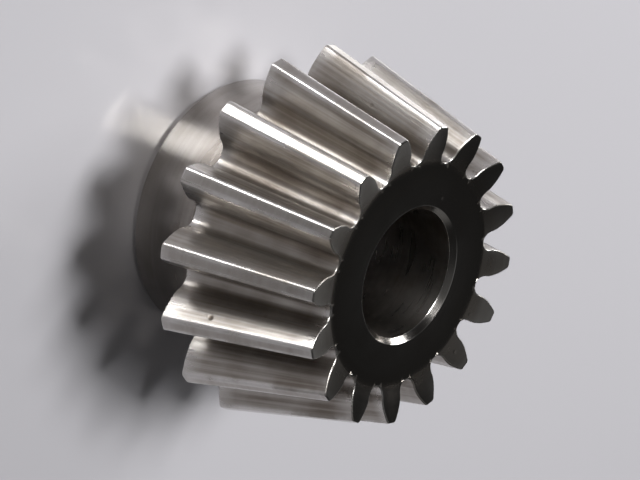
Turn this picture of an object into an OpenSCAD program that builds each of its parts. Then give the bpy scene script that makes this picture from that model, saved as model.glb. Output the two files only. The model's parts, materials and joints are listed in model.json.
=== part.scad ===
// Straight bevel pinion: a steel blank turned all over, with involute teeth cut along
// lines that meet at one apex on the axis. It stands on the flat end of its hub, with
// the axis along +Z and the small end of the teeth on top. All sizes are in millimetres.

/* [Teeth] */
// Number of teeth
teeth = 16; // [14:1:24]
// Module of the teeth, at their large end
tooth_module = 2; // [1.9:0.05:3]
// Length of the teeth, along the pitch cone
face_width = 15; // [8:0.5:20]
// Speed ratio that sets the slope of the pitch cone, for two shafts at right angles
speed_ratio = 4; // [2.5:0.25:6]
// Pressure angle of the flanks
pressure_angle = 20; // [14.5:0.5:25]
// Height of the teeth above the pitch cone, in modules
addendum = 1; // [0.8:0.05:1.1]
// Depth of the teeth below the pitch cone, in modules
dedendum = 1.25; // [1.1:0.05:1.35]
// Radius of the corner on the cutting tool, which leaves the root fillets, in modules
root_radius = 0.38; // [0.1:0.02:0.46]

/* [Hub] */
// Diameter of the hub
hub_d = 25; // [18:0.5:26]
// Length of the hub, from its flat end to the back of the blank
hub_length = 8; // [4:0.25:20]
// Chamfer round the flat end of the hub
hub_chamfer = 0.3; // [0.2:0.1:1.5]
// Fillet between the hub and the back of the blank
hub_fillet = 0.8; // [0.3:0.1:1.2]

/* [Bore] */
// Diameter of the bore
bore_d = 12; // [6:0.5:15]
// Chamfer at each end of the bore
bore_chamfer = 0.5; // [0.2:0.1:1.2]

/* [Hidden] */
$fn = 96;
steel_color = [0.64, 0.63, 0.62];
hub_r = hub_d / 2;
bore_r = bore_d / 2;

// The pitch cone, from the pitch circle at the large end up to the apex
pitch_r = tooth_module * teeth / 2;
pitch_angle = atan(1 / speed_ratio);
cone_distance = pitch_r / sin(pitch_angle);
pitch_z = hub_length + (pitch_r - hub_r) * tan(pitch_angle);
apex_z = pitch_z + cone_distance * cos(pitch_angle);
small_end = 1 - face_width / cone_distance;

// The back cone stands square on the pitch cone. Laid flat, it is a spur gear of these radii.
flat_pitch_r = pitch_r / cos(pitch_angle);
flat_base_r = flat_pitch_r * cos(pressure_angle);
flat_tip_r = flat_pitch_r + addendum * tooth_module;
flat_root_r = flat_pitch_r - dedendum * tooth_module;

// The teeth are cut by a straight-sided rack that rolls round them. Its corners are as round
// as its point has room for, and its sides cut down to flank_depth or to the base circle.
half_gap = 90 / (teeth / cos(pitch_angle));
side_slope = tan(pressure_angle);
widest_corner = (PI / 4 - dedendum * side_slope) / (1 / cos(pressure_angle) - side_slope);
corner_r = min(root_radius, widest_corner) * tooth_module;
corner_depth = dedendum * tooth_module - corner_r;
corner_x = PI / 4 * tooth_module - corner_depth * side_slope - corner_r / cos(pressure_angle);
corner_travel = corner_depth / side_slope;
base_depth = flat_pitch_r - flat_base_r * cos(pressure_angle);
flank_depth = min(corner_depth + corner_r * sin(pressure_angle), base_depth);
flank_start_r = norm([flat_pitch_r - flank_depth, flank_depth / side_slope]);
root_steps = 10;
flank_steps = 12;

// The cut runs out past both ends of the teeth, and a little past their tips
run_out = tooth_module;
tip_clearance = 0.3 * tooth_module;
cut_bottom = back_cone(flat_root_r).y - run_out;
cut_top = towards_apex(back_cone(flat_tip_r)).y + run_out;
cut_taper = (apex_z - cut_top) / (apex_z - cut_bottom);

// Distance from the axis and height of a point at radius r on the back cone laid flat
function back_cone(r) = [r * cos(pitch_angle), pitch_z + (r - flat_pitch_r) * sin(pitch_angle)];

// A point [distance from the axis, height] of the large end, drawn in to the small end
function towards_apex(p) = [p.x * small_end, apex_z - (apex_z - p.y) * small_end];

// Angle between the start of an involute and the point where its pressure angle is a
function involute(a) = tan(a) * 180 / PI - a;

// Half the angle of a gap at radius r, between involute flanks
function flank_angle(r) = half_gap - involute(pressure_angle) + involute(acos(min(1, flat_base_r / r)));

// Point [radius, angle] of the fillet that the round corner of the rolling rack leaves,
// where x is how far the centre of the corner has travelled past the pitch point
function fillet_point(x) =
    let (reach = 1 + corner_r / norm([x, corner_depth]))
    let (across = x * reach)
    let (out = flat_pitch_r - corner_depth * reach)
    [norm([across, out]), atan2(across, out) - (x - corner_x) / flat_pitch_r * 180 / PI];

// A point [radius, angle] of the back cone laid flat, cast from the apex onto the lower end of the cut
function cut_point(p) =
    let (at = back_cone(p.x))
    let (r = at.x * (apex_z - cut_bottom) / (apex_z - at.y))
    let (angle = p.y / cos(pitch_angle))
    r * [cos(angle), sin(angle)];

// One side of a gap, from its root out to clear of the tips
function gap_side() =
    let (fillet = [for (i = [0 : root_steps]) fillet_point(corner_travel * i / root_steps)])
    let (outer_r = flat_tip_r + tip_clearance)
    concat(
        [for (p = fillet) if (p.x < flank_start_r) p],
        [for (i = [0 : flank_steps])
            let (r = flank_start_r + (outer_r - flank_start_r) * i / flank_steps)
            [r, max(flank_angle(r), lookup(r, fillet))]]
    );

// Half of the turned section: hub, back cone, face cone of the teeth, small end and bore
module blank_section() {
    tip = back_cone(flat_tip_r);
    small_tip = towards_apex(tip);
    small_root = towards_apex(back_cone(flat_root_r));
    polygon([
        [bore_r + bore_chamfer, 0],
        [hub_r - hub_chamfer, 0],
        [hub_r, hub_chamfer],
        [hub_r, hub_length],
        tip,
        small_tip,
        small_root,
        [bore_r + bore_chamfer, small_root.y],
        [bore_r, small_root.y - bore_chamfer],
        [bore_r, bore_chamfer]
    ]);
    hub_fillet_section();
}

// The corner between the hub and the back cone, filled and then hollowed by an arc
module hub_fillet_section() {
    leg = hub_fillet / tan(45 + pitch_angle / 2);
    centre = [hub_r + hub_fillet, hub_length - leg];
    difference() {
        polygon([
            [hub_r, hub_length],
            [hub_r, centre.y],
            centre,
            [hub_r + leg * cos(pitch_angle), hub_length + leg * sin(pitch_angle)]
        ]);
        translate(centre)
            circle(hub_fillet);
    }
}

// The space between two teeth, centred on +X and tapered to the apex
module tooth_gap() {
    side = [for (p = gap_side()) cut_point(p)];
    across = [for (i = [len(side) - 1 : -1 : 0]) [side[i].x, -side[i].y]];
    translate([0, 0, cut_bottom])
        linear_extrude(height = cut_top - cut_bottom, scale = cut_taper)
            polygon(concat(side, across));
}

module bevel_pinion() {
    color(steel_color)
        difference() {
            rotate_extrude()
                blank_section();
            for (i = [0 : teeth - 1])
                rotate([0, 0, (i + 0.5) * 360 / teeth])
                    tooth_gap();
        }
}

bevel_pinion();
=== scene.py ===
import json

import bpy
import numpy as np
from mathutils import Matrix, Vector


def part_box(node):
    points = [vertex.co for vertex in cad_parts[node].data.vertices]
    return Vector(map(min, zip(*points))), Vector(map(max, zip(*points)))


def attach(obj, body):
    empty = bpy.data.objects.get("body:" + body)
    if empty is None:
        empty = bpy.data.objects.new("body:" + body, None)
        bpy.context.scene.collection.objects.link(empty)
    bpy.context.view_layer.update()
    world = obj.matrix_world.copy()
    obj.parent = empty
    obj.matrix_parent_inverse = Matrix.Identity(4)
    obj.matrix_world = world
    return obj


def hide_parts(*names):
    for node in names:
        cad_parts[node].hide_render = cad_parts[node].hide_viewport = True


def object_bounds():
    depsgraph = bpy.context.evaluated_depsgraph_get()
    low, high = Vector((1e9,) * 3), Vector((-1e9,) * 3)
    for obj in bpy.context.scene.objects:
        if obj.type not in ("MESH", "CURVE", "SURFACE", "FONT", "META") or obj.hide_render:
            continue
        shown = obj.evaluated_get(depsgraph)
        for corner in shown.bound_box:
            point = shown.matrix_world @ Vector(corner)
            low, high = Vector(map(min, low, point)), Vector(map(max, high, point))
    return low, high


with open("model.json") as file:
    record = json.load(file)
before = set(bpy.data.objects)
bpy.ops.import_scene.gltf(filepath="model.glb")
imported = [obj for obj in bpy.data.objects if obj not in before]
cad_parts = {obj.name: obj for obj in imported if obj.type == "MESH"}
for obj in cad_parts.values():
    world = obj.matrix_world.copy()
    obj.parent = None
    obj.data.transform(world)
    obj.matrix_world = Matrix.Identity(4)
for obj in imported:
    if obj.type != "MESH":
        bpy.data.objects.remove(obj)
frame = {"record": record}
cad_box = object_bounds()

# The pinion
# One piece of steel bar. The blank is turned all over and bored on a lathe, and then sixteen straight
# teeth are planed into its cone, along lines that all meet at one apex on the axis.

# Sizes in millimetres, apart from the tooth heights and the cutter's corner, which are in modules
MM = 0.001
teeth = 16
speed_ratio = 4.0
pressure_angle = np.radians(20)
face_width = 15.0
addendum = 1.0
dedendum = 1.25
cutter_corner = 0.38
hub_radius = 12.5
hub_chamfer = 0.3
hub_fillet = 0.8
bore_chamfer = 0.5
tip_edge = 0.45
end_edge = 0.12
turned_edge = 0.08
edge_margin = 0.05

# How many points draw each stretch of the surface
fillet_points = 9
flank_points = 15
edge_points = 6
land_points = 4
rows_along = 9
corner_points = 5

mounts = {mount["name"]: mount for mount in frame["record"]["mounts"]}
bore_radius = mounts["bore"]["dims"]["r_mm"]
tip_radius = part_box("bevel_pinion")[1].x / MM
tip_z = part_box("bevel_pinion")[1].z / MM

# The pitch cone, and the back cone laid flat as a spur gear
pitch_angle = np.arctan(1 / speed_ratio)
cos_pitch = np.cos(pitch_angle)
sin_pitch = np.sin(pitch_angle)
module = round(tip_radius / (teeth / 2 + addendum * cos_pitch), 2)
pitch_radius = module * teeth / 2
cone_distance = pitch_radius / sin_pitch
small_end = 1 - face_width / cone_distance
apex_height = cone_distance * cos_pitch
pitch_z = tip_z - apex_height + (apex_height - addendum * module * sin_pitch) * small_end
apex_z = pitch_z + apex_height
hub_length = pitch_z - (pitch_radius - hub_radius) * np.tan(pitch_angle)
flat_pitch = pitch_radius / cos_pitch
flat_base = flat_pitch * np.cos(pressure_angle)
flat_tip = flat_pitch + addendum * module
flat_root = flat_pitch - dedendum * module
half_step = np.pi * cos_pitch / teeth


def involute(angle):
    """Angle between the start of an involute and its point at this pressure angle: tan(a) - a."""
    return np.tan(angle) - angle


def flank_angle(radius):
    """Half the angle of a gap at this flat radius, between involutes of the base circle."""
    pressure = np.arccos(np.minimum(1, flat_base / radius))
    return half_step / 2 - involute(pressure_angle) + involute(pressure)


def root_fillet():
    """Fillet at one side of a gap, as flat radius and angle, from the root out.

    A straight-sided cutter with round corners rolls round the blank. As the centre of a corner travels
    along it, the cut lies one corner radius beyond, on the line from the pitch point through the centre.
    """
    corner = cutter_corner * module
    depth = dedendum * module - corner
    slope = np.tan(pressure_angle)
    start = np.pi / 4 * module - depth * slope - corner / np.cos(pressure_angle)
    travel = np.linspace(0, depth / slope, fillet_points)
    reach = 1 + corner / np.hypot(travel, depth)
    across = travel * reach
    out = flat_pitch - depth * reach
    return np.hypot(across, out), np.arctan2(across, out) - (travel - start) / flat_pitch


def tooth_outline():
    """One tooth laid flat, from the middle of one gap to the next, as complex numbers.

    Root circle, root fillet and involute flank follow each other up to a small arc, tangent to flank
    and tip circle, that rounds the edge of the top land. The far side mirrors the near side across
    the middle of the tooth.
    """
    fillet_radius, fillet_turn = root_fillet()
    tip_pressure = np.arccos(flat_base / flat_tip)
    flank_end = flat_tip - tip_edge * (1 - np.sin(tip_pressure))
    flank_radius = np.linspace(flat_base, flank_end, flank_points)
    flank_turn = np.maximum(flank_angle(flank_radius), np.interp(flank_radius, fillet_radius, fillet_turn))
    below = fillet_radius < flat_base
    fillet = fillet_radius[below] * np.exp(1j * fillet_turn[below])
    flank = flank_radius * np.exp(1j * flank_turn)
    outward = np.exp(1j * flank_angle(flat_tip))
    along = tip_edge * (1 - np.sin(tip_pressure)) / np.cos(tip_pressure)
    arc_turn = np.linspace(np.pi / 2 - tip_pressure, 0, edge_points)[1:]
    arc = outward * (flat_tip - tip_edge + 1j * along + tip_edge * np.exp(-1j * arc_turn))
    land_turn = np.linspace(np.angle(arc[-1]), half_step, land_points)[1:]
    near = np.concatenate([[flat_root], fillet, flank, arc, flat_tip * np.exp(1j * land_turn)])
    return np.concatenate([near, np.conj(near[-2:0:-1]) * np.exp(2j * half_step)])


def tooth_rows(outline, along, inset):
    """Rows of points round all the teeth, as radius, angle and height.

    Each row is the outline moved into the metal by its inset, wrapped on the back cone and drawn
    towards the apex by its distance along the tooth.
    """
    step_turn = np.exp(2j * half_step)
    forward = np.append(outline[1:], outline[0] * step_turn) - outline
    backward = outline - np.append(outline[-1] / step_turn, outline[:-1])
    inward = 1j * (forward / abs(forward) + backward / abs(backward))
    scale = 1 - along[:, None] / cone_distance
    flat = outline + inset[:, None] / scale * inward / abs(inward)
    turns = 2 * np.pi * (np.arange(teeth) - 0.5) / teeth
    radius = np.abs(flat) * cos_pitch * scale
    height = apex_z - (apex_height - (np.abs(flat) - flat_pitch) * sin_pitch) * scale
    angle = np.angle(flat) / cos_pitch
    all_angles = (turns[:, None] + angle[:, None, :]).reshape(len(along), -1)
    return np.tile(radius, teeth), all_angles, np.tile(height, teeth)


def rounded_profile(corners, radii):
    """Section of the turned faces, radius + height * 1j, with a tangent arc in place of each inner corner.

    The centre of an arc lies on the line that halves its corner, at radius / sin(half the corner),
    and one more point follows the straight just before and just after the arc.
    """
    points = [corners[:1]]
    for before, corner, after, radius in zip(corners, corners[1:], corners[2:], radii):
        leave = (before - corner) / abs(before - corner)
        enter = (after - corner) / abs(after - corner)
        half = abs(np.angle(enter / leave)) / 2
        tangent = radius / np.tan(half)
        centre = corner + (leave + enter) / abs(leave + enter) * radius / np.sin(half)
        spoke = corner + leave * tangent - centre
        turn = np.angle((corner + enter * tangent - centre) / spoke)
        arc = centre + spoke * np.exp(1j * turn * np.linspace(0, 1, corner_points))
        margin = [corner + leave * (tangent + edge_margin), corner + enter * (tangent + edge_margin)]
        points += [margin[:1], arc, margin[1:]]
    return np.concatenate(points + [corners[-1:]])


def on_back_cone(radius):
    """The point of the back cone at this distance from the axis."""
    return radius + 1j * (hub_length + (radius - hub_radius) * np.tan(pitch_angle))


outline = tooth_outline()

# Rows along the teeth, from the small end to the large end, with the end edges rounded by quarter circles
round_off = np.radians(np.linspace(0, 90, edge_points))
edge_inset = np.append(end_edge + edge_margin, end_edge * (1 - np.sin(round_off)))
edge_along = np.append(0, end_edge * (1 - np.cos(round_off)))
straight = np.linspace(end_edge + edge_margin, face_width - end_edge - edge_margin, rows_along)
along_tooth = np.concatenate([face_width - edge_along, straight[::-1], edge_along[::-1]])
inset = np.concatenate([edge_inset, straight * 0, edge_inset[::-1]])
tooth_r, tooth_a, tooth_z = tooth_rows(outline, along_tooth, inset)

# The flat front face, out to the root circle of the small end, where the ends of the teeth rise from it
small_root_r = flat_root * cos_pitch * small_end
front_z = apex_z - (apex_height + dedendum * module * sin_pitch) * small_end
tooth_z[:2] = np.maximum(tooth_z[:2], front_z)
face_edge = small_root_r - 2 * end_edge - 4 * edge_margin
face_a = tooth_a[len(tooth_a) // 2][None]

# Two rows at its rim: one on the root circle, and one a margin past it, at most half way to the teeth
rim_r = np.minimum(small_root_r, tooth_r[:1] - edge_margin)
past_rim = np.minimum(0.5, edge_margin / (tooth_r[:1] - rim_r))
rim_rows = np.array([0, 1])[:, None] * past_rim
rim_a = face_a + (tooth_a[:1] - face_a) * rim_rows
rim_z = front_z + (tooth_z[:1] - front_z) * rim_rows
rim_r = rim_r + (tooth_r[:1] - rim_r) * rim_rows

# The turned section, from the back cone down the hub, through the bore and out over the front face
corners = np.array([
    on_back_cone(hub_radius + hub_fillet),
    on_back_cone(hub_radius),
    hub_radius + 1j * hub_chamfer,
    hub_radius - hub_chamfer,
    bore_radius + bore_chamfer,
    bore_radius + 1j * bore_chamfer,
    bore_radius + 1j * (front_z - bore_chamfer),
    bore_radius + bore_chamfer + 1j * front_z,
    face_edge - 2 * edge_margin + 1j * front_z,
])
corner_radii = [hub_fillet] + [turned_edge] * (len(corners) - 3)
section = np.append(rounded_profile(corners, corner_radii), face_edge + 1j * front_z)
turned_r = np.repeat(section.real[:, None], tooth_r.shape[1], axis=1)
turned_z = np.repeat(section.imag[:, None], tooth_r.shape[1], axis=1)

radius = np.concatenate([turned_r, rim_r, tooth_r])
angle = np.concatenate([np.repeat(face_a, len(section), axis=0), rim_a, tooth_a])
height = np.concatenate([turned_z, rim_z, tooth_z])


def closed_grid(name, points):
    """A mesh of four-sided faces over a grid of points that closes on itself in both directions.

    Its UV map runs once along the rows and once round the columns.
    """
    rows, columns = points.shape[:2]
    row, column = np.meshgrid(np.arange(rows), np.arange(columns), indexing="ij")
    corner_rows = np.stack([row, row + 1, row + 1, row], -1).reshape(-1, 4)
    corner_columns = np.stack([column, column, column + 1, column + 1], -1).reshape(-1, 4)
    faces = corner_rows % rows * columns + corner_columns % columns
    mesh = bpy.data.meshes.new(name)
    mesh.from_pydata(points.reshape(-1, 3), [], faces)
    uv = np.stack([corner_rows / rows, corner_columns / columns], -1)
    mesh.uv_layers.new(name="lay").data.foreach_set("uv", uv.ravel())
    mesh.shade_smooth()
    return mesh


points = np.stack([radius * np.cos(angle), radius * np.sin(angle), height], -1) * MM
pinion_mesh = closed_grid("pinion", points)


def grid_bend(points, normals):
    """How sharply a closed grid bends at each point, above 0 on edges and below 0 in hollows.

    Along each grid line it is the turn of the normal over a step, projected on that step and divided by
    its length squared. The strongest of the four steps round a point counts.
    """
    bends = []
    for axis in (0, 1):
        step = np.roll(points, -1, axis) - points
        turn = np.roll(normals, -1, axis) - normals
        bend = (step * turn).sum(-1) / (step * step).sum(-1)
        bends += [bend, np.roll(bend, 1, axis)]
    bends = np.array(bends)
    strongest = np.abs(bends).argmax(0)
    return np.take_along_axis(bends, strongest[None], 0)[0]


def add_measure(mesh, name, values):
    """A number for each point of a mesh, which its materials can read by name."""
    mesh.attributes.new(name, "FLOAT", "POINT").data.foreach_set("value", values.ravel())


# Scaled so that the rounding of a land counts as a full edge, and the hub's fillet as a full hollow
normals = np.empty(points.size, np.float32)
pinion_mesh.vertices.foreach_get("normal", normals)
bend = grid_bend(points, normals.reshape(points.shape)) * MM
add_measure(pinion_mesh, "edge", np.clip(bend * tip_edge, 0, 1))
# The hollow measure darkens the roots, fillets and bore in the finishes: grime with painted shade
add_measure(pinion_mesh, "hollow", np.clip(-bend * hub_fillet, 0, 1))

pinion = bpy.data.objects.new("pinion", pinion_mesh)
bpy.context.scene.collection.objects.link(pinion)
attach(pinion, "root")
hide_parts("bevel_pinion")

# Finishes of the steel
# Bare steel with a film of oil. The lathe leaves fine rings on the turned faces, the planing tool leaves
# lines along the flanks, and the reamed bore is painted dark as shade. Grime and painted shade lie in the
# hollows. Handling has worn the edges bright.

turned_steel = (0.44, 0.415, 0.385)
dull_steel = (0.37, 0.34, 0.31)
planed_steel = (0.41, 0.385, 0.355)
# Colour of the tool streaks on the flanks; the bore takes it as painted shade
streaked_steel_and_bore_shade = (0.20, 0.172, 0.145)
worn_steel = (0.66, 0.64, 0.62)
# Grime colour; in the hollows and the bore it also paints shade
grime_and_shade = (0.10, 0.075, 0.055)
worn_roughness = 0.2
grime_roughness = 0.5
# Share of grime and painted shade in the hollows, from thin to thick patches
thin_grime_and_shade = 0.15
thick_grime_and_shade = 0.6
least_wear = 0.2
most_wear = 0.9
quarter_turn = 0.25

# Clouds in millimetres, lines to the millimetre across their run and along it, and their shares in a streak
cloud_size = 4.5
coarse_lines = 0.8
fine_lines = 2.5
lines_along = 0.05
cloud_share = 0.5
fine_share = 0.5

# Noise keeps near 0.5; over these stretches of it, streaks, grime and painted shade, and wear run end to
# end
streak_span = (0.4, 0.6)
grime_and_shade_span = (0.35, 0.65)
wear_span = (0.38, 0.58)

# The nicks: faint ones scattered all over, and a clear one on one flank
nick_depth = 0.04
nick_spacing = 4.5
faint_nick = 0.4
faint_nick_core = 0.025
faint_nick_rim = 0.055
nick_radius = 0.32
nick_core = 0.4
nick_tooth = -2
nick_along = 4.7
nick_height = 1.1


def add_node(tree, kind, sockets=(), **settings):
    """A shader node with its settings, its sockets set to values or joined to other nodes' sockets."""
    made = tree.nodes.new("ShaderNode" + kind)
    for name, value in settings.items():
        setattr(made, name, value)
    for name, value in dict(sockets).items():
        if isinstance(value, bpy.types.NodeSocket):
            tree.links.new(value, made.inputs[name])
        else:
            made.inputs[name].default_value = value
    return made


def calculate(tree, operation, first, second):
    """Two numbers put through one operation."""
    return add_node(tree, "Math", {0: first, 1: second}, operation=operation).outputs[0]


def remap(tree, value, low, high, at_low, at_high, run="LINEAR"):
    """A value carried from the range low to high into at_low to at_high, and held at both ends."""
    sockets = {0: value, 1: low, 2: high, 3: at_low, 4: at_high}
    return add_node(tree, "MapRange", sockets, interpolation_type=run).outputs[0]


def mix(tree, share, first, second):
    """Two numbers mixed, with this share of the second."""
    return add_node(tree, "Mix", {0: share, 2: first, 3: second}).outputs[0]


def mix_colour(tree, share, first, second):
    """A colour socket mixed with a fixed colour, with this share of the second."""
    return add_node(tree, "Mix", {0: share, 6: first, 7: (*second, 1)}, data_type="RGBA").outputs[2]


def lathe_lines(tree, lines_per_mm):
    """Noise in rings round the axis: it changes fast with radius and height, slowly round the axis."""
    place = add_node(tree, "TexCoord").outputs["Object"]
    flat = add_node(tree, "VectorMath", {0: place, 1: (1, 1, 0)}, operation="MULTIPLY").outputs[0]
    ring = add_node(tree, "VectorMath", {0: flat}, operation="LENGTH").outputs["Value"]
    spoke = add_node(tree, "VectorMath", {0: flat}, operation="NORMALIZE").outputs[0]
    spoke = add_node(tree, "SeparateXYZ", {0: spoke}).outputs
    level = add_node(tree, "SeparateXYZ", {0: place}).outputs["Z"]
    ring = calculate(tree, "MULTIPLY", ring, lines_per_mm / MM)
    level = calculate(tree, "MULTIPLY", level, lines_per_mm / MM)
    where = add_node(tree, "CombineXYZ", {"X": ring, "Y": level, "Z": spoke["X"]}).outputs[0]
    sockets = {"Vector": where, "W": spoke["Y"], "Scale": 1, "Detail": 3}
    return add_node(tree, "TexNoise", sockets, noise_dimensions="4D").outputs[0]


def planing_lines(tree, lines_per_mm):
    """Noise in lines towards the apex: it changes fast across a tooth, slowly along it."""
    place = add_node(tree, "TexCoord").outputs["Object"]
    apex = (0, 0, apex_z * MM)
    from_apex = add_node(tree, "VectorMath", {0: place, 1: apex}, operation="SUBTRACT").outputs[0]
    reach = add_node(tree, "VectorMath", {0: from_apex}, operation="LENGTH").outputs["Value"]
    aim = add_node(tree, "VectorMath", {0: from_apex}, operation="NORMALIZE").outputs[0]
    across = lines_per_mm * cone_distance
    aim = add_node(tree, "VectorMath", {0: aim, "Scale": across}, operation="SCALE").outputs[0]
    slow = calculate(tree, "MULTIPLY", reach, lines_along / MM)
    sockets = {"Vector": aim, "W": slow, "Scale": 1, "Detail": 3}
    return add_node(tree, "TexNoise", sockets, noise_dimensions="4D").outputs[0]


def flank_place(tooth, along, height):
    """The point of a tooth's first flank at a distance along the tooth and a height over the pitch circle.

    The tooth is counted round from +X. The flat radius and the angle of the involute there are wrapped on
    the back cone and drawn towards the apex, as the rows of the teeth are.
    """
    flat = flat_pitch + height
    scale = 1 - along / cone_distance
    turn = 2 * np.pi * (tooth - 0.5) / teeth + flank_angle(flat) / cos_pitch
    out = flat * cos_pitch * scale
    up = apex_z - (apex_height - height * sin_pitch) * scale
    return np.array([out * np.cos(turn), out * np.sin(turn), up]) * MM


def handling_marks(tree, place):
    """Mask of small nicks, 1 at the middle of the clear one.

    The clear one is a ball round its place on the flank. The faint ones lie where the centre of a noise
    cell meets the surface.
    """
    spread = {"Vector": place, "Scale": 1 / (nick_spacing * MM)}
    cells = add_node(tree, "TexVoronoi", spread).outputs["Distance"]
    faint = remap(tree, cells, faint_nick_core, faint_nick_rim, faint_nick, 0)
    nick = flank_place(nick_tooth, nick_along, nick_height)
    away = add_node(tree, "VectorMath", {0: place, 1: nick}, operation="DISTANCE").outputs["Value"]
    clear = remap(tree, away, nick_radius * nick_core * MM, nick_radius * MM, 1, 0)
    return calculate(tree, "MAXIMUM", faint, clear)


def steel_finish(name, lines, steel, stained, roughness, anisotropy, across, line_depth):
    """Bare steel whose colour, roughness and bump follow the lines that a tool left on it.

    Grime and painted shade fill the hollows, grime the nicks, and handling wears the edges, both in soft
    clouds.
    """
    material = bpy.data.materials.new(name)
    material.use_nodes = True
    tree = material.node_tree
    shader = tree.nodes["Principled BSDF"]
    place = add_node(tree, "TexCoord").outputs["Object"]
    spread = {"Vector": place, "Scale": 1 / (cloud_size * MM), "Detail": 4}
    clouds = add_node(tree, "TexNoise", spread).outputs[0]
    coarse = lines(tree, coarse_lines)
    fine = lines(tree, fine_lines)
    stain = mix(tree, cloud_share, coarse, clouds)
    streak = mix(tree, fine_share, stain, fine)

    # Where grime and painted shade lie, and where the steel is rubbed bright
    patches = remap(tree, stain, *grime_and_shade_span, thick_grime_and_shade, thin_grime_and_shade)
    hollow = add_node(tree, "Attribute", attribute_name="hollow").outputs["Fac"]
    dirt_and_shade = calculate(tree, "MULTIPLY", hollow, patches)
    marks = handling_marks(tree, place)
    dirt_and_shade = calculate(tree, "MAXIMUM", dirt_and_shade, marks)
    rubbed = remap(tree, clouds, *wear_span, least_wear, most_wear)
    edge = add_node(tree, "Attribute", attribute_name="edge").outputs["Fac"]
    worn = calculate(tree, "MULTIPLY", edge, rubbed)

    # Colour
    tone = add_node(tree, "ValToRGB", {0: streak})
    for stop, position, shade in zip(tone.color_ramp.elements, streak_span, (stained, steel)):
        stop.position = position
        stop.color = (*shade, 1)
    # Grime and painted shade darken the hollows, and grime the nicks
    colour = mix_colour(tree, dirt_and_shade, tone.outputs[0], grime_and_shade)
    colour = mix_colour(tree, worn, colour, worn_steel)
    tree.links.new(colour, shader.inputs["Base Color"])

    # Gloss, drawn out across the lines
    smooth, rough = roughness
    sheen = remap(tree, streak, *streak_span, rough, smooth)
    sheen = mix(tree, dirt_and_shade, sheen, grime_roughness)
    sheen = mix(tree, worn, sheen, worn_roughness)
    tree.links.new(sheen, shader.inputs["Roughness"])
    tangent = add_node(tree, "Tangent", direction_type="UV_MAP", uv_map="lay").outputs[0]
    tree.links.new(tangent, shader.inputs["Tangent"])
    shader.inputs["Metallic"].default_value = 1
    shader.inputs["Anisotropic"].default_value = anisotropy
    shader.inputs["Anisotropic Rotation"].default_value = quarter_turn if across else 0

    # Relief of the lines and the nicks
    sunk = -nick_depth / line_depth
    relief = add_node(tree, "Math", {0: marks, 1: sunk, 2: fine}, operation="MULTIPLY_ADD").outputs[0]
    bump = add_node(tree, "Bump", {"Strength": 1, "Distance": line_depth * MM, "Height": relief})
    tree.links.new(bump.outputs[0], shader.inputs["Normal"])
    return material


turned = steel_finish(
    "turned", lathe_lines, steel=turned_steel, stained=dull_steel,
    roughness=(0.1, 0.17), anisotropy=0.5, across=False, line_depth=0.004,
)
planed = steel_finish(
    "planed", planing_lines, steel=planed_steel, stained=streaked_steel_and_bore_shade,
    roughness=(0.28, 0.42), anisotropy=0.5, across=True, line_depth=0.025,
)
# The bore's reamed finish: its dark colours are painted shade inside the hole
reamed = steel_finish(
    "reamed", lathe_lines, steel=streaked_steel_and_bore_shade, stained=grime_and_shade,
    roughness=(0.3, 0.4), anisotropy=0.3, across=False, line_depth=0.003,
)
finishes = [turned, planed, reamed]
for finish in finishes:
    pinion_mesh.materials.append(finish)

# Each face takes the finish of its row and column: the teeth are planed between their ends and below
# their lands, the straight of the bore is reamed, and all the rest is turned
tolerance = 1e-6
land_start = int(np.argmax(np.abs(outline) >= flat_tip - tolerance))
column = np.arange(len(outline))
is_land = (column >= land_start) & (column < len(outline) - land_start)
row = np.arange(len(radius))
first_tooth_row = len(section) + len(rim_r)
is_tooth = (row > first_tooth_row) & (row < len(radius) - 2)
on_bore = np.abs(section.real - bore_radius) < tolerance
is_bore = np.append(on_bore[:-1] & on_bore[1:], np.zeros(len(radius) - len(section) + 1, bool))
is_planed = is_tooth[:, None] & ~np.tile(is_land, teeth)
finish_of = np.where(is_planed, finishes.index(planed), finishes.index(turned))
finish_of = np.where(is_bore[:, None], finishes.index(reamed), finish_of)
pinion_mesh.polygons.foreach_set("material_index", finish_of.ravel().astype(np.int32))

# The floor
# A plain pale sheet, slightly glossy, wide enough to fill the view. It lies a hair below the hub's flat
# end, so that the two faces don't coincide.

floor_half = 3.0
floor_drop = 0.02 * MM
paper_colour = (0.57, 0.56, 0.59)
paper_roughness = 0.15
paper_ior = 1.8

floor_mesh = bpy.data.meshes.new("floor")
floor_corners = np.array([[-1, -1, 0], [1, -1, 0], [1, 1, 0], [-1, 1, 0]]) * floor_half
floor_mesh.from_pydata(floor_corners - [0, 0, floor_drop], [], [[0, 1, 2, 3]])
floor = bpy.data.objects.new("floor", floor_mesh)
bpy.context.scene.collection.objects.link(floor)
paper = bpy.data.materials.new("pale_paper")
paper.use_nodes = True
paper_shader = paper.node_tree.nodes["Principled BSDF"]
paper_shader.inputs["Base Color"].default_value = (*paper_colour, 1)
paper_shader.inputs["Roughness"].default_value = paper_roughness
paper_shader.inputs["IOR"].default_value = paper_ior
floor_mesh.materials.append(paper)

# The lamps
# A tall strip and a small lamp that the steel shows as bright streaks, and a soft lamp that lights the
# floor alone and throws the shadow. All of them face the middle of the pinion.

middle = (Vector(cad_box[0]) + Vector(cad_box[1])) / 2


def direction(azimuth, elevation):
    """Unit vector at an azimuth from +X towards +Y and an elevation above the floor, in degrees."""
    a, e = np.radians(azimuth), np.radians(elevation)
    return Vector((np.cos(a) * np.cos(e), np.sin(a) * np.cos(e), np.sin(e)))


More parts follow.
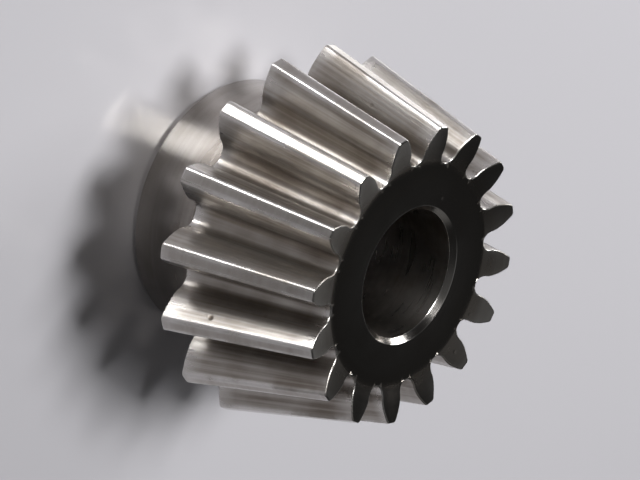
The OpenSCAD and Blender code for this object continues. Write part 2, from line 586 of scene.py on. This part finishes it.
def soft_box(name, azimuth, elevation, distance, width, tall, power):
    """A rectangular lamp that faces the middle of the pinion, in metres and watts."""
    lamp = bpy.data.lights.new(name, "AREA")
    lamp.shape = "RECTANGLE"
    lamp.size = width
    lamp.size_y = tall
    lamp.energy = power
    made = bpy.data.objects.new(name, lamp)
    away = direction(azimuth, elevation)
    made.location = middle + away * distance
    made.rotation_euler = away.to_track_quat("Z", "Y").to_euler()
    bpy.context.scene.collection.objects.link(made)
    return made


strip = soft_box("strip", azimuth=-125, elevation=24, distance=1.0, width=0.38, tall=0.72, power=18)
strip.visible_diffuse = False
soft_box("side", azimuth=147, elevation=25, distance=0.4, width=0.15, tall=0.15, power=0.6)
floor_lamp = soft_box(
    "floor_lamp", azimuth=168, elevation=68, distance=0.6, width=0.18, tall=0.18, power=3.5
)
floor_lamp.visible_glossy = False

# The room is grey near the horizon and overhead, and dark between. Its spans are sines of the elevation.
horizon_grey = 0.15
dark_grey = 0.02
ceiling_grey = 0.1
horizon_span = (0.25, 0.48)
ceiling_span = (0.74, 0.9)

world = bpy.data.worlds.new("room")
world.use_nodes = True
room = world.node_tree
sky = add_node(room, "TexCoord").outputs["Generated"]
rise = add_node(room, "SeparateXYZ", {0: sky}).outputs["Z"]
horizon = remap(room, rise, *horizon_span, horizon_grey, dark_grey, run="SMOOTHSTEP")
ceiling = remap(room, rise, *ceiling_span, 0, ceiling_grey, run="SMOOTHSTEP")
glow = calculate(room, "ADD", horizon, ceiling)
room.links.new(glow, room.nodes["Background"].inputs["Color"])
bpy.context.scene.world = world

# The camera
# It looks from the side and above, and is turned about its own axis, so that the pinion's axis points
# right and down in the picture.

camera_place = Vector((7.4, -132.0, 116.0)) * MM
image_up = Vector((-0.895, -0.060, -0.442))
camera_data = bpy.data.cameras.new("camera")
camera_data.lens = 102
camera_data.sensor_width = 36
camera_data.clip_start = 0.01
camera = bpy.data.objects.new("camera", camera_data)
backward = (camera_place - middle).normalized()
right = image_up.cross(backward).normalized()
turned_to = Matrix((right, backward.cross(right), backward)).transposed()
camera.matrix_world = Matrix.Translation(camera_place) @ turned_to.to_4x4()
bpy.context.scene.collection.objects.link(camera)
bpy.context.scene.camera = camera

bpy.context.scene.view_settings.view_transform = "Standard"
